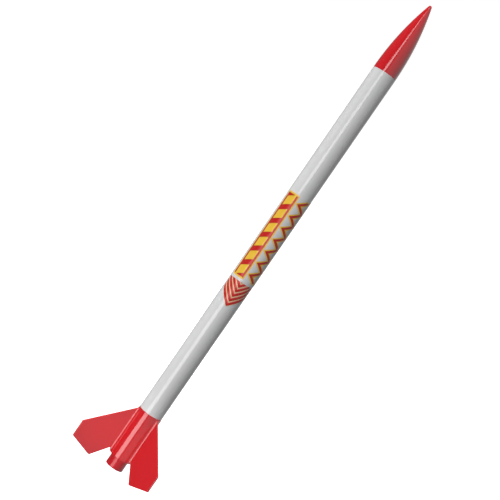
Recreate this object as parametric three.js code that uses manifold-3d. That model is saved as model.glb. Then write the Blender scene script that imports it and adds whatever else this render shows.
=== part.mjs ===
// A small model rocket: a white paper tube with a red plastic nose cone and a red three-fin unit,
// a clay-and-powder motor in its own tube, and a packed parachute under the nose.
// Millimetres, +Z towards the nose. The origin is on the rocket's axis, in the plane of the motor
// tube's aft end. The rocket stands upright on the low corners of its three fins.

import * as THREE from 'three';
import { mergeVertices } from 'three/addons/utils/BufferGeometryUtils.js';
import Module from 'manifold-3d';

const wasm = await Module();
wasm.setup();

// ---------------------------------------------------------------- driving dimensions

const ROUND = 48;                       // sides of the large round parts
const SMALL_ROUND = 24;                 // sides of the small ones
const TOUCH_GAP = 0.1;                  // between parts that seat face to face

const TUBE_R = 12.4;                    // body tube, outside
const TUBE_BORE = 12.0;
const TUBE_BOTTOM = 63.5;
const TUBE_TOP = 456.5;

const NOSE_LENGTH = 77;                 // from the tube's top to the tip
const NOSE_TIP_R = 1.8;
const NOSE_WALL = 1.2;
const NOSE_TIP_SOLID = 5;               // how far the hollow stops short of the tip
const OGIVE_STEPS = 10;
const TIP_STEPS = 3;
const SHOULDER_R = 11.85;               // the part of the nose that plugs into the tube
const SHOULDER_BORE = 10.65;
const SHOULDER_LENGTH = 22;
const SHOULDER_CHAMFER = [0.5, 1];      // radius and height
const SHOULDER_INNER_STEP = 3;          // the bore narrows this far below the tube's top

const CAN_R = 12.75;                    // fin unit's sleeve
const CAN_BORE = 11.3;
const CAN_BOTTOM = 11.5;
const CAN_FLOOR = 2;                    // thickness of the web that closes the sleeve
const CAN_PLUG_R = 11.85;               // spigot inside the body tube
const CAN_PLUG_BORE = 10.6;
const CAN_PLUG_TOP = 71;
const CAN_CHAMFER = 0.6;
const CAN_BORE_STEP = [3, 5];           // below the tube, where the bore narrows into the spigot

const FIN_AZIMUTHS = [90, 210, 330];    // degrees
const FIN_THICK = 1.8;
const FIN_ROOT_R = 12.0;                // the plate starts inside the sleeve's wall
const FIN_TIP_R = 52.5;
const FIN_LEAD_TOP = 62.4;              // leading edge where it leaves the sleeve
const FIN_TIP_TOP = 24.2;
const FIN_TIP_BOTTOM = 7.0;
const FIN_FOOT_Z = -1.6;                // what the rocket stands on
const FIN_FOOT_R = [28.1, 29.7];
const FIN_NOTCH = [14.6, 14.8];         // radius and height where the trailing edge meets the root
const FILLET_R = 3;
const FILLET_STEPS = 5;
const FILLET_BURY = 0.9;                // how deep the fillet's bar reaches into the sleeve

const MOTOR_TUBE_R = 9.35;
const MOTOR_TUBE_BORE = 9.0;
const MOTOR_TUBE_TOP = 86;
const RING_BORE = 9.6;                  // centring rings and sleeve floor, round the motor tube
const RINGS = [
  { name: 'aft_centring_ring', bottom: 20, height: 6, radius: 11.15 },
  { name: 'forward_centring_ring', bottom: 76, height: 6, radius: 11.8 },
];
const CORD_SLOT = [3.8, 1.6];           // in the forward ring: width and depth

const CASING_R = 8.75;
const CASING_BORE = 6.6;
const CASING_BOTTOM = 0.4;
const CASING_LENGTH = 70;
const FILL_R = 6.5;                     // what is pressed into the casing
const THROAT_R = 1.5;
const EXIT_R = 2.2;
const NOZZLE_TOP = 9;
const NOZZLE_CONE = 3.6;                // height of the flared exit
const CORE_DEPTH = 5;                   // of the cone that the igniter reaches into
const PROPELLANT = [9.3, 45];
const DELAY = [45.3, 56];
const EJECTION = [56.3, 62];
const CLAY_CAP = [62.3, 64.6];
const TAPE_R = [8.8, 8.95];
const TAPE = [40, 59];
const THRUST_RING = [70.8, 76.8];
const THRUST_RING_R = [6.4, 8.85];

const LUG_BORE = 2.0;
const LUG_R = 2.3;
const LUG_SPAN = [125, 182];
const LUG_AZIMUTH = 120;

const WADDING = [318, 349];
const WADDING_R = 9.6;
const WADDING_LUMP = 0.06;              // share of the radius that the crumples take
const WADDING_SQUARENESS = 1.25;        // above 1 the ends are flatter than a ball's
const CANOPY = [352, 412];
const CANOPY_R = 8.3;
const CANOPY_SHOULDERS = [2, [3.5, 3]]; // chamfer below; radius and height of the taper above
const LINES_R = 9.25;                   // middle of the shroud lines' winding
const LINES_DIAMETER = 1.6;             // six thin lines twisted into one bundle
const LINES_TURNS = 4;
const LINES_RISE = [366, 408.5];
const LINES_LEAD_START = 0.86;          // share of the bundle that is wound; the rest leads inwards
const LINES_LEAD_TURNS = 0.35;
const LINES_KNOT_R = 1.6;               // where the lead ends, under the eye
const LINES_KNOT_Z = 423.5;

const CORD_SECTION = [3.2, 0.9];        // flat elastic: width along the wall, and thickness
const CORD_R = 10.7;                    // its distance from the axis, along the tube's wall
const CORD_STRAIGHT = [140, 220, 300, 380, 408];    // heights of its points along the wall
const CORD_CROSSING = [[-9.6, 419], [-6.4, 427]];   // (x, z) where it turns in to the eye
const CORD_EYE_REACH = 2.6;             // how far it passes to each side of the eye's plate
const CORD_KNOT_R = 1.45;
const CORD_KNOT_STRETCH = { low: [0.75, 1.5, 1], high: [1, 1.6, 1.4] };
const CORD_KNOT_DROP = 1.8;             // of the low knot's middle, below the ring
const CORD_KNOT_X = 3.1;                // of the knot behind the eye

const PLUG_FLANGE = [433.3, 434.2];
const PLUG_RIM_TOP = 441;
const PLUG_FIT = [0.3, 0.25];           // clear of the shoulder's outside, and inside its bore
const PLUG_WALL = [1.2, 1];             // of the rim and of the floor
const EYE_BOTTOM = 426;
const EYE_Z = 429.8;
const EYE_BORE = 1.9;
const EYE_WIDTH = 8.4;
const EYE_THICK = 2.6;

const PRINT_R = [12.45, 12.57];         // stickers, on the outside of the tube
const STICKER_STEP = 6;                 // degrees of azimuth for each flat
const BAND_ARC = [-142, 6];             // degrees of azimuth
const BAND_SPAN = [219.5, 316.5];
const EMBLEM_AZIMUTH = -75;
const EMBLEM_WIDTH = 30;                // along the tube's round
const EMBLEM_SPAN = [190, 217.5];
const EMBLEM_SHOULDER = 205;

// ---------------------------------------------------------------- materials

const plastic = (color, roughness) => new THREE.MeshStandardMaterial({ color, roughness, metalness: 0 });
const RED = plastic('#c8182a', 0.3);
const RED_TUBE = plastic('#c01c2c', 0.4);
const WHITE = plastic('#eeeeec', 0.4);
const BLACK = plastic('#26262a', 0.5);
const KRAFT = plastic('#b08a5c', 0.85);
const CARD = plastic('#c9b491', 0.85);
const CLAY = plastic('#a9a39b', 0.95);
const POWDER = plastic('#2b2a2c', 0.95);
const TAPE_TAN = plastic('#d8c08a', 0.8);
const FILM = plastic('#e8562c', 0.35);
const ELASTIC = plastic('#ecebe4', 0.9);
const TISSUE = plastic('#d9d6c8', 0.95);
const STRAW = plastic('#e6e2d6', 0.7);

// ---------------------------------------------------------------- helpers

const radians = (degrees) => degrees * Math.PI / 180;

// A closed solid of revolution about Z from (radius, height) points.
function turned(points, sides = ROUND) {
  const profile = points.map(([r, z]) => new THREE.Vector2(r, z));
  return new THREE.LatheGeometry(profile, sides).rotateX(Math.PI / 2);
}

// A round tube: a ring profile that closes on itself.
function tube(inner, outer, bottom, top, sides = ROUND) {
  return turned([[inner, bottom], [outer, bottom], [outer, top], [inner, top], [inner, bottom]], sides);
}

function rod(radius, bottom, top, sides = ROUND) {
  return turned([[0, bottom], [radius, bottom], [radius, top], [0, top]], sides);
}

// An outline in (across, up) pushed out to a thickness that straddles its plane.
function plate(points, thickness) {
  const shape = new THREE.Shape(points.map(([x, y]) => new THREE.Vector2(x, y)));
  const geometry = new THREE.ExtrudeGeometry(shape, { depth: thickness, bevelEnabled: false });
  return geometry.translate(0, 0, -thickness / 2).rotateX(Math.PI / 2);
}

// An eight-sided section swept along a curve: round when both sizes agree, else a flat band whose
// first size lies across the plane of a flat curve.
function swept(curve, [across, within], steps) {
  const section = new THREE.Shape(Array.from({ length: 8 }, (_, i) => {
    const angle = Math.PI / 8 + i * Math.PI / 4;
    return new THREE.Vector2(across / 2 * Math.cos(angle), within / 2 * Math.sin(angle));
  }));
  return new THREE.ExtrudeGeometry(section, { steps, extrudePath: curve, bevelEnabled: false });
}

function solid(geometry) {
  const bare = geometry.index ? geometry.toNonIndexed() : geometry.clone();
  bare.deleteAttribute('normal');
  bare.deleteAttribute('uv');
  const merged = mergeVertices(bare, 1e-3);
  return new wasm.Manifold(new wasm.Mesh({
    numProp: 3,
    vertProperties: merged.attributes.position.array,
    triVerts: new Uint32Array(merged.index.array),
  }));
}

function geometryOf(manifold) {
  const { vertProperties, triVerts } = manifold.getMesh();
  const geometry = new THREE.BufferGeometry();
  geometry.setAttribute('position', new THREE.BufferAttribute(vertProperties, 3));
  geometry.setIndex(new THREE.BufferAttribute(triVerts, 1));
  geometry.computeVertexNormals();
  return geometry;
}

function node(name, geometry, material) {
  const mesh = new THREE.Mesh(geometry, material);
  mesh.name = name;
  return mesh;
}

// ---------------------------------------------------------------- nose

// Half-profile of a blunted tangent ogive, from its widest point to its tip.
function ogive(radius, length, tipRadius, base) {
  const sweep = ((length - tipRadius) ** 2 / (radius - tipRadius) + radius + tipRadius) / 2;
  const tipCentre = length - tipRadius;
  const join = Math.asin(tipCentre / (sweep - tipRadius));
  const side = Array.from({ length: OGIVE_STEPS + 1 }, (_, i) => {
    const angle = join * i / OGIVE_STEPS;
    return [radius - sweep + sweep * Math.cos(angle), base + sweep * Math.sin(angle)];
  });
  const cap = Array.from({ length: TIP_STEPS - 1 }, (_, i) => {
    const angle = join + (Math.PI / 2 - join) * (i + 1) / TIP_STEPS;
    return [tipRadius * Math.cos(angle), base + tipCentre + tipRadius * Math.sin(angle)];
  });
  return [...side, ...cap, [0, base + length]];
}

function noseCone() {
  const outside = ogive(TUBE_R, NOSE_LENGTH, NOSE_TIP_R, TUBE_TOP);
  const hollow = ogive(TUBE_R - NOSE_WALL, NOSE_LENGTH - NOSE_TIP_SOLID, NOSE_TIP_R, TUBE_TOP);
  const inside = hollow.filter((_, i) => (hollow.length - 1 - i) % 2 === 0);
  const shoulderBottom = TUBE_TOP - SHOULDER_LENGTH;
  const seat = TUBE_TOP + TOUCH_GAP / 2;
  return turned([
    ...inside.reverse(),
    [SHOULDER_BORE, TUBE_TOP - SHOULDER_INNER_STEP],
    [SHOULDER_BORE, shoulderBottom],
    [SHOULDER_R - SHOULDER_CHAMFER[0], shoulderBottom],
    [SHOULDER_R, shoulderBottom + SHOULDER_CHAMFER[1]],
    [SHOULDER_R, seat],
    [TUBE_R, seat],
    ...outside.slice(1),
  ]);
}

// Closes the nose's shoulder and carries the eye that everything is tied to.
function nosePlug() {
  const [flangeBottom, flangeTop] = PLUG_FLANGE;
  const flange = SHOULDER_R - PLUG_FIT[0];
  const rim = SHOULDER_BORE - PLUG_FIT[1];
  const [wall, floor] = PLUG_WALL;
  const cup = solid(turned([
    [0, flangeBottom], [flange, flangeBottom], [flange, flangeTop], [rim, flangeTop], [rim, PLUG_RIM_TOP],
    [rim - wall, PLUG_RIM_TOP], [rim - wall, flangeTop + floor], [0, flangeTop + floor],
  ]));
  const half = EYE_WIDTH / 2;
  const round = EYE_Z - (EYE_BOTTOM + half);
  const outline = new THREE.Shape();
  outline.moveTo(half, flangeTop - EYE_Z);
  outline.lineTo(-half, flangeTop - EYE_Z);
  outline.lineTo(-half, -round);
  outline.absarc(0, -round, half, Math.PI, 2 * Math.PI, false);
  const bore = new THREE.Path().absarc(0, 0, EYE_BORE, 0, 2 * Math.PI, true);
  outline.holes.push(bore);
  const settings = { depth: EYE_THICK, bevelEnabled: false, curveSegments: 10 };
  const eye = new THREE.ExtrudeGeometry(outline, settings);
  eye.translate(0, 0, -EYE_THICK / 2).rotateX(Math.PI / 2).rotateZ(Math.PI / 2).translate(0, 0, EYE_Z);
  return geometryOf(cup.add(solid(eye)));
}

// ---------------------------------------------------------------- fin unit

// The fin's outline in (radius, height), down the leading edge and round to the root.
function finOutline() {
  const [footInner, footOuter] = FIN_FOOT_R;
  const slope = (FIN_LEAD_TOP - FIN_TIP_TOP) / (FIN_TIP_R - CAN_R);
  return [
    [FIN_ROOT_R, FIN_LEAD_TOP + slope * (CAN_R - FIN_ROOT_R)],
    [FIN_TIP_R, FIN_TIP_TOP],
    [FIN_TIP_R, FIN_TIP_BOTTOM],
    [footOuter, FIN_FOOT_Z],
    [footInner, FIN_FOOT_Z],
    FIN_NOTCH,
    [CAN_R, CAN_BOTTOM],
    [FIN_ROOT_R, CAN_BOTTOM],
  ].reverse();
}

// The concave fillets that blend a fin into the sleeve, as one upright bar.
function filletBar() {
  const half = FIN_THICK / 2;
  const reach = CAN_R + FILLET_R;
  const centreX = Math.sqrt(reach ** 2 - (half + FILLET_R) ** 2);
  const centreY = half + FILLET_R;
  const start = Math.atan2(centreY, centreX);
  const arc = Array.from({ length: FILLET_STEPS + 1 }, (_, i) => {
    const angle = Math.PI + start + (Math.PI / 2 - start) * i / FILLET_STEPS;
    return [centreX + FILLET_R * Math.cos(angle), centreY + FILLET_R * Math.sin(angle)];
  });
  const depthR = CAN_R - FILLET_BURY;
  const buried = [depthR * Math.cos(start), depthR * Math.sin(start)];
  const upper = [buried, ...arc];
  const lower = upper.map(([x, y]) => [x, -y]).reverse();
  const shape = new THREE.Shape([...lower, ...upper].map(([x, y]) => new THREE.Vector2(x, y)));
  const depth = CAN_PLUG_TOP - CAN_BOTTOM;
  return new THREE.ExtrudeGeometry(shape, { depth, bevelEnabled: false }).translate(0, 0, CAN_BOTTOM);
}

function finUnit() {
  const shoulder = TUBE_BOTTOM - TOUCH_GAP;
  const [stepTop, stepBottom] = CAN_BORE_STEP.map((drop) => TUBE_BOTTOM - drop);
  const floorTop = CAN_BOTTOM + CAN_FLOOR;
  let unit = solid(turned([
    [RING_BORE, CAN_BOTTOM], [CAN_R - CAN_CHAMFER, CAN_BOTTOM], [CAN_R, CAN_BOTTOM + CAN_CHAMFER],
    [CAN_R, shoulder], [CAN_PLUG_R, shoulder], [CAN_PLUG_R, CAN_PLUG_TOP],
    [CAN_PLUG_BORE, CAN_PLUG_TOP], [CAN_PLUG_BORE, stepTop], [CAN_BORE, stepBottom],
    [CAN_BORE, floorTop], [RING_BORE, floorTop], [RING_BORE, CAN_BOTTOM],
  ]));
  for (const azimuth of FIN_AZIMUTHS) {
    const fin = plate(finOutline(), FIN_THICK).rotateZ(radians(azimuth));
    const reach = plate(finOutline(), 4 * FILLET_R).rotateZ(radians(azimuth));
    const fillet = solid(filletBar().rotateZ(radians(azimuth))).intersect(solid(reach));
    unit = unit.add(solid(fin)).add(fillet);
  }
  return geometryOf(unit);
}

// ---------------------------------------------------------------- motor mount and motor

function centringRing({ bottom, height, radius }) {
  return tube(RING_BORE, radius, bottom, bottom + height);
}

// The forward ring is notched so that the shock cord can pass it and be knotted beneath.
function slottedRing(ring) {
  const [width, depth] = CORD_SLOT;
  const slot = new THREE.BoxGeometry(2 * depth, width, 2 * ring.height);
  slot.translate(-ring.radius, 0, ring.bottom + ring.height / 2);
  return geometryOf(solid(centringRing(ring)).subtract(solid(slot)));
}

function nozzle() {
  return turned([
    [EXIT_R, CASING_BOTTOM], [FILL_R, CASING_BOTTOM], [FILL_R, NOZZLE_TOP], [THROAT_R, NOZZLE_TOP],
    [THROAT_R, CASING_BOTTOM + NOZZLE_CONE], [EXIT_R, CASING_BOTTOM],
  ]);
}

// Pressed powder with the short conical core that the igniter reaches into.
function propellant() {
  const [bottom, top] = PROPELLANT;
  return turned([[0, bottom + CORE_DEPTH], [THROAT_R, bottom], [FILL_R, bottom], [FILL_R, top], [0, top]]);
}

// ---------------------------------------------------------------- recovery

// A crumpled handful of tissue: a lumpy closed shell.
function wadding() {
  const [bottom, top] = WADDING;
  const geometry = new THREE.SphereGeometry(1, 18, 10).rotateX(Math.PI / 2);
  const position = geometry.attributes.position;
  for (let i = 0; i < position.count; i++) {
    const [x, y, z] = [position.getX(i), position.getY(i), position.getZ(i)];
    const azimuth = Math.atan2(y, x);
    const across = Math.max(Math.hypot(x, y), 1e-6);
    const crumple = WADDING_LUMP * Math.cos(3 * azimuth + 4 * z) * Math.cos(5 * z);
    const squared = Math.min(1, across * WADDING_SQUARENESS) / across;
    const radial = WADDING_R * (1 - WADDING_LUMP + crumple) * squared;
    position.setXYZ(i, x * radial, y * radial, (bottom + top) / 2 + z * (top - bottom) / 2);
  }
  return geometry;
}

function canopyRoll() {
  const [bottom, top] = CANOPY;
  const [chamfer, [taper, taperHeight]] = CANOPY_SHOULDERS;
  return turned([
    [0, bottom], [CANOPY_R - chamfer, bottom], [CANOPY_R, bottom + chamfer],
    [CANOPY_R, top - taperHeight], [CANOPY_R - taper, top], [0, top],
  ], SMALL_ROUND);
}

// The lines' bundle is wound round the rolled canopy and gathered under the nose's eye.
class LineRoute extends THREE.Curve {
  getPoint(t, target = new THREE.Vector3()) {
    const [low, high] = LINES_RISE;
    const winding = Math.min(t / LINES_LEAD_START, 1);
    const lead = Math.max((t - LINES_LEAD_START) / (1 - LINES_LEAD_START), 0);
    const ease = lead * lead * (3 - 2 * lead);
    const angle = 2 * Math.PI * (LINES_TURNS * winding + LINES_LEAD_TURNS * lead);
    const radius = LINES_R + (LINES_KNOT_R - LINES_R) * ease;
    const height = low + (high - low) * winding + (LINES_KNOT_Z - high) * lead;
    return target.set(radius * Math.cos(angle), radius * Math.sin(angle), height);
  }
}

function shroudLines() {
  return swept(new LineRoute(), [LINES_DIAMETER, LINES_DIAMETER], 80);
}

// The elastic runs up the tube's wall from a knot under the forward ring to the eye in the nose.
function shockCord() {
  const ringBottom = RINGS[1].bottom;
  const points = [
    ...[ringBottom - 1, ...CORD_STRAIGHT].map((z) => [-CORD_R, z]),
    ...CORD_CROSSING,
    [-CORD_EYE_REACH, EYE_Z],
    [CORD_EYE_REACH, EYE_Z],
  ].map(([x, z]) => new THREE.Vector3(x, 0, z));
  const route = new THREE.CatmullRomCurve3(points, false, 'centripetal');
  const band = solid(swept(route, CORD_SECTION, 40));
  const low = cordKnot(CORD_KNOT_STRETCH.low, -CORD_R, ringBottom - CORD_KNOT_DROP);
  const high = cordKnot(CORD_KNOT_STRETCH.high, CORD_KNOT_X, EYE_Z);
  return geometryOf(band.add(low).add(high));
}

function cordKnot(stretch, x, z) {
  return solid(new THREE.SphereGeometry(CORD_KNOT_R, 10, 7).scale(...stretch).translate(x, 0, z));
}

// ---------------------------------------------------------------- outside pieces

function launchLug() {
  const distance = TUBE_R + TOUCH_GAP + LUG_R;
  const azimuth = radians(LUG_AZIMUTH);
  const lug = tube(LUG_BORE, LUG_R, LUG_SPAN[0], LUG_SPAN[1], SMALL_ROUND);
  return lug.translate(distance * Math.cos(azimuth), distance * Math.sin(azimuth), 0);
}

// A thin curved panel on the tube between two azimuths.
function panel([from, to], [bottom, top]) {
  const [inner, outer] = PRINT_R;
  const shape = new THREE.Shape();
  shape.absarc(0, 0, outer, radians(from), radians(to), false);
  shape.absarc(0, 0, inner, radians(to), radians(from), true);
  const steps = Math.ceil((to - from) / STICKER_STEP);
  const settings = { depth: top - bottom, bevelEnabled: false, curveSegments: steps };
  return new THREE.ExtrudeGeometry(shape, settings).translate(0, 0, bottom);
}

// The lower sticker: a plain arrowhead that points to the tail.
function emblem() {
  const [bottom, top] = EMBLEM_SPAN;
  const halfArc = EMBLEM_WIDTH / 2 / TUBE_R * 180 / Math.PI;
  const sheet = panel([EMBLEM_AZIMUTH - halfArc, EMBLEM_AZIMUTH + halfArc], EMBLEM_SPAN);
  const depth = PRINT_R[1];
  const cutter = plate([
    [0, bottom], [depth, EMBLEM_SHOULDER], [depth, top], [-depth, top], [-depth, EMBLEM_SHOULDER],
  ], 2 * depth).translate(0, -depth, 0).rotateZ(radians(EMBLEM_AZIMUTH + 90));
  return geometryOf(solid(sheet).intersect(solid(cutter)));
}

// ---------------------------------------------------------------- assembly

const airframe = new THREE.Group();
airframe.add(
  node('body_tube', tube(TUBE_BORE, TUBE_R, TUBE_BOTTOM, TUBE_TOP), WHITE),
  node('fin_unit', finUnit(), RED),
  node('motor_tube', tube(MOTOR_TUBE_BORE, MOTOR_TUBE_R, 0, MOTOR_TUBE_TOP), RED_TUBE),
  node(RINGS[0].name, centringRing(RINGS[0]), CARD),
  node(RINGS[1].name, slottedRing(RINGS[1]), CARD),
  node('thrust_ring', tube(THRUST_RING_R[0], THRUST_RING_R[1], THRUST_RING[0], THRUST_RING[1]), CARD),
  node('launch_lug', launchLug(), STRAW),
  node('sticker_band', panel(BAND_ARC, BAND_SPAN), FILM),
  node('sticker_arrow', emblem(), FILM),
  node('shock_cord', shockCord(), ELASTIC),
);

const nose = new THREE.Group();
nose.add(
  node('nose_cone', noseCone(), RED),
  node('nose_plug', nosePlug(), BLACK),
);

const recovery = new THREE.Group();
recovery.add(
  node('parachute_canopy', canopyRoll(), FILM),
  node('shroud_lines', shroudLines(), ELASTIC),
  node('recovery_wadding', wadding(), TISSUE),
);

const motor = new THREE.Group();
motor.add(
  node('motor_casing', tube(CASING_BORE, CASING_R, CASING_BOTTOM, CASING_BOTTOM + CASING_LENGTH), KRAFT),
  node('motor_nozzle', nozzle(), CLAY),
  node('propellant_grain', propellant(), POWDER),
  node('delay_charge', rod(FILL_R, DELAY[0], DELAY[1]), POWDER),
  node('ejection_charge', rod(FILL_R, EJECTION[0], EJECTION[1]), POWDER),
  node('clay_cap', rod(FILL_R, CLAY_CAP[0], CLAY_CAP[1]), CLAY),
  node('friction_tape', tube(TAPE_R[0], TAPE_R[1], TAPE[0], TAPE[1]), TAPE_TAN),
);

const rocket = new THREE.Group();
rocket.add(airframe, nose, recovery, motor);

export default rocket;
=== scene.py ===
from math import asin, atan2, copysign, cos, exp, hypot, pi, radians, sin, sqrt, tan

import bmesh
import bpy
from mathutils import Matrix, Quaternion, Vector, noise


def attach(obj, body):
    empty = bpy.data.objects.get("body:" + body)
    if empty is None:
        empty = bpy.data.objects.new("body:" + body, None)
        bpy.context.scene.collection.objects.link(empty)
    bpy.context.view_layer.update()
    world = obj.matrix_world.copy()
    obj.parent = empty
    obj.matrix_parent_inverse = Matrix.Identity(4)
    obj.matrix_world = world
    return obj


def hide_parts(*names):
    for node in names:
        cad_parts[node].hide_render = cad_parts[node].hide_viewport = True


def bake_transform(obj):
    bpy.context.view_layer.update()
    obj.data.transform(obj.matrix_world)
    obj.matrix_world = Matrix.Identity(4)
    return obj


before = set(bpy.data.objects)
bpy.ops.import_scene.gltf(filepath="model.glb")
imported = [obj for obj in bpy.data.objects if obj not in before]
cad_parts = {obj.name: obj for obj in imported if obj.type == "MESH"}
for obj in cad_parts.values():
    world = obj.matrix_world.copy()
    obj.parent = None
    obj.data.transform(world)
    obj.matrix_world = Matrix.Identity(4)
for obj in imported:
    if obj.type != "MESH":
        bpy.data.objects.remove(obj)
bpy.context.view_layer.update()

# A small model rocket: white paper tube, red nose and fin unit, motor and packed parachute.
# Metres, +Z towards the nose, in the CAD frame. The rocket's own sizes are in millimetres and follow
# the CAD part; each fine mesh stands in the space of the node that it replaces. The camera, the
# lights and the floor are placed in metres.

MM = 0.001
ROUND, FINE_ROUND = 160, 192  # sides of the round pieces, and of the largest ones

TUBE_R, TUBE_BORE = 12.4, 12.0
TUBE_ENDS = (63.5, 456.5)
NOSE_LENGTH, NOSE_TIP_R, NOSE_WALL = 77.0, 1.8, 1.2
NOSE_SOLID_TIP = 5  # the hollow is this much shorter than the outside
NOSE_GAP, NOSE_RIM_R = 0.05, 0.18  # above the tube's end, and the rounding of the rim there
SHOULDER_R, SHOULDER_BORE, SHOULDER_BOTTOM = 11.85, 10.65, 434.5
SHOULDER_CHAMFER = (0.5, 1)  # inwards, and up
SHOULDER_BORE_TOP = 3  # below the tube's end
PLUG_BOTTOM, PLUG_LIP_TOP, PLUG_FLOOR_TOP, PLUG_TOP = 433.3, 434.2, 435.2, 441
PLUG_LIP_R, PLUG_R, PLUG_WALL, PLUG_EDGE = SHOULDER_R - 0.3, SHOULDER_BORE - 0.25, 1.2, 0.25
EYE_Z, EYE_BORE, EYE_WIDTH, EYE_THICK, EYE_EDGE = 429.8, 1.9, 8.4, 2.6, 0.3
EYE_BOTTOM, EYE_TOP = 426.0, 433.6

CAN_R, CAN_BORE, CAN_ENDS = 12.75, 11.3, (11.5, 63.4)
CAN_PLUG_R, CAN_PLUG_BORE, CAN_PLUG_TOP = 11.85, 10.6, 71.0
CAN_FLOOR, CAN_EDGE = 2, 0.3  # thickness of the sleeve's lower end, and its rounded edges
CAN_STEP = (5, 3)  # the bore narrows between these depths below the sleeve's top
FIN_AZIMUTHS = (90, 210, 330)
FIN_HALF = 0.9
FIN_OUTLINE = [(52.5, 24.2), (52.5, 7.0), (29.7, -1.6), (28.1, -1.6), (14.6, 14.8)]
FIN_LEAD = (12.75, 62.4)  # where the leading edge leaves the sleeve
FIN_BURIED_R = 12.0  # the fin's root lies inside the sleeve's wall
FIN_ROOT_LIFT, FIN_ROOT_STEP = 0.25, 0.35  # above the sleeve's end, and inwards of the fillet
FIN_CORNER_R, FIN_EDGE_R = 0.9, 0.55  # roundings of the outline, and across the thickness
FIN_STATIONS, FIN_CLEAR = (17, 21, 25, 34, 40, 46), 26  # radii; beyond the last each bend has one too
FILLET_R, FILLET_SINK, FILLET_LEAD = 3.0, 0.06, 0.12  # it starts inside the wall: mm, radians

RING_BORE, RING_EDGE = 9.6, 0.2
AFT_RING = (RING_BORE, 11.15, 20, 26)  # bore, outer radius, bottom and top, as in the rows below
THRUST_RING = (6.4, 8.85, 70.8, 76.8)
MOTOR_TUBE = (9.0, 9.35, 0.0, 86.0)
NOTCH_RING_R, NOTCH_RING_ENDS = 11.8, (76.0, 82.0)
NOTCH_HALF, NOTCH_DEPTH, NOTCH_STEPS = 1.9, 1.6, 8

FILLING_R, THROAT_R, EXIT_R = 6.5, 1.5, 2.2
CASING = (6.6, 8.75, 0.4, 70.4)
NOZZLE_TOP, NOZZLE_CONE_TOP = 9.0, 4.0
GRAIN_BOTTOM, GRAIN_CORE_TOP, GRAIN_TOP = 9.3, 14.3, 45
CLAY_EDGE = 0.2  # rounding of the nozzle and of the grain
LAYERS = (  # piece, look, node, bottom, top, rounded edge
    ("delay_pressed", "powder", "delay_charge", 45.3, 56, 0.2),
    ("ejection_powder", "powder", "ejection_charge", 56.3, 62, 0.2),
    ("clay_cap_disc", "clay", "clay_cap", 62.3, 64.6, 0.25),
)
TAPE = (8.8, 8.95, 40, 59)

LUG = (2.0, 2.3, 125.0, 182.0)
LUG_AZIMUTH, LUG_DISTANCE = 120, 14.8
BEAD_R, BEAD_DISTANCE, BEAD_ASIDE, BEAD_WAVE = 0.62, 12.8, 1.75, 0.1
FILM_R = (12.46, 12.55)  # inner and outer face of the stickers
FILM_COLUMNS, FILM_ROWS = 96, 12
BAND_ARC, BAND_Z = (-142, 6), (219.5, 316.5)
ARROW_AZIMUTH, ARROW_HALF = -75, 15.0
ARROW_Z = (190.0, 205.0, 217.5)  # point, shoulders and top

CORD_R, CORD_SECTION = 10.7, (3.1, 0.8)
CORD_STRAIGHT = (75, 140, 220, 300, 380, 408)
CORD_TURN_IN = ((-9.6, 419), (-6.4, 427), (-2.6, EYE_Z), (2.6, EYE_Z))  # x and z
KNOT_REACH, KNOT_WIDE, KNOT_STRAND = 0.62, 0.72, 0.36  # shares of a knot's size

FILM_THICK = 0.05
ROLL_R, ROLL_Z = (1.3, 7.9), (352.4, 411.6)
ROLL_TURNS, ROLL_STEPS, ROLL_ROWS = 47, 36, 16
ROLL_PACKING = 0.85  # below 1, the turns lie closer together towards the outside
ROLL_PLEATS, ROLL_LOW_RISE = 27, 3.2
ROLL_TOP_GAP, ROLL_PLEAT_DROP, ROLL_DROP = 1.0, 7.0, 2.0  # the drops grow along the winding
ROLL_LOBES = ((5, 0.12, 0.05), (11, -0.31, 0.03))  # each: count, twist with height, depth
ROLL_SOFTEN = 0.6  # of the lobes' depth
ROLL_PINCHES = ((372, 9, 0.06), (395, 8, 0.05))  # each: height, half-width, depth

LINES_R, LINES_TURNS, LINES_RISE, LINES_KNOT_Z = 8.7, 4, (366.0, 408.5), 423.5
LINES_WOUND = 0.86  # share of the route that is wound round the roll
LEAD_TURNS, LEAD_R = 0.35, 1.6  # of the rest, which goes up to the eye
LINE_COUNT, LINE_R, LINE_OFFSET, LINE_TWISTS, LINE_STEPS = 6, 0.24, 0.46, 9, 420
LOOP_Z, LOOP_HALF, LOOP_BEND, LOOP_STEPS = (424.2, 428.35), 1.85, 0.35, 64

WAD_Z, WAD_R, WAD_HALF, WAD_SQUARE = 333.5, 9.35, 15.3, 1.25
WAD_CREASES, WAD_DEEPEST = ((2.3, 0.16), (5.1, 0.08), (11.0, 0.03)), 0.4  # each: scale, depth
WAD_NOISE_AT = (3.1, 7.7, 1.3)
WAD_END_SHRINK = 0.28  # the ends shrink by this share of what the sides do

# ---- camera, light and floor

CAMERA_AZIMUTH = 10.44  # degrees round from looking along +Y
CAMERA_DISTANCE, CAMERA_HEIGHT = 1.1176, 0.3019
AIM_ASIDE, AIM_HEIGHT = -0.01027, 0.2468
CAMERA_ROLL = 34.53
SENSOR, LENS = 36, 84.3408  # millimetres


def facing(azimuth, across, towards, up):
    """A point given from the rocket's axis as seen from an azimuth: to the right, to the viewer, up."""
    a = radians(azimuth)
    right = Vector((cos(a), sin(a), 0))
    viewer = Vector((sin(a), -cos(a), 0))
    return right * across + viewer * towards + Vector((0, 0, up))


def linked(name, data):
    made = bpy.data.objects.new(name, data)
    bpy.context.collection.objects.link(made)
    return made


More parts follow.
